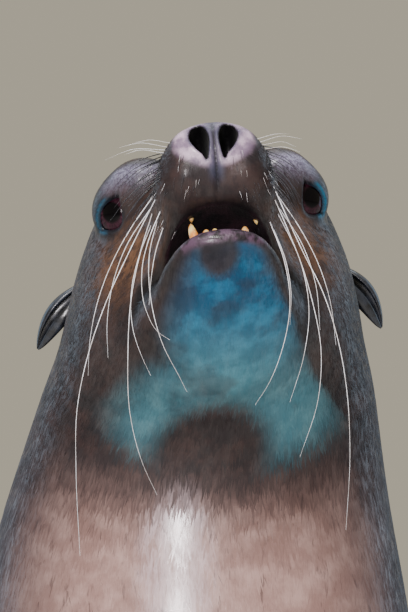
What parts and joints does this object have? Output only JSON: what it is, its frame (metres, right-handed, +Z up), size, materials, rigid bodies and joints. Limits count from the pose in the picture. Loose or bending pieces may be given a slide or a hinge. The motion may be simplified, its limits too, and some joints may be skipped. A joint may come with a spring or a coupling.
{
  "type": "sea lion model",
  "caption": "Life-size still sea lion that sits up on its fore flippers, head thrown back and mouth a little open, for display or dressing a shore scene.",
  "frame": {"origin": "on the floor, under the middle of the bounding box", "axes": "+Z up, -Y the way the animal faces, +X its left side"},
  "size_m": [0.8026, 1.0752, 0.9465],
  "materials": {
    "coat": "short wet fur, brown grey, glossy",
    "bare_nose": "bare damp skin, lavender grey",
    "flipper": "bare wrinkled skin, brown black, damp",
    "ear": "thinly furred skin, dark, wet",
    "eye": "wet dark brown eye",
    "tooth": "cream enamel, stained orange at the root",
    "claw": "dark horn"
  },
  "bodies": {
    "root": {"nose": "bare_nose", "head": "coat", "lower_jaw": "coat", "neck": "coat", "chest": "coat", "belly": "coat", "loins": "coat", "hips": "coat", "tail": "coat", "eye_left": "eye", "eye_right": "eye", "ear_left": "ear", "ear_right": "ear", "canine_left": "tooth", "canine_right": "tooth", "fore_limb_left": "coat", "fore_limb_right": "coat", "fore_flipper_left": "flipper", "fore_flipper_right": "flipper", "hind_limb_left": "coat", "hind_limb_right": "coat", "hind_flipper_left": "flipper", "hind_flipper_right": "flipper", "claw_left_1": "claw", "claw_left_2": "claw", "claw_left_3": "claw", "claw_right_1": "claw", "claw_right_2": "claw", "claw_right_3": "claw"}
  },
  "joints": []
}
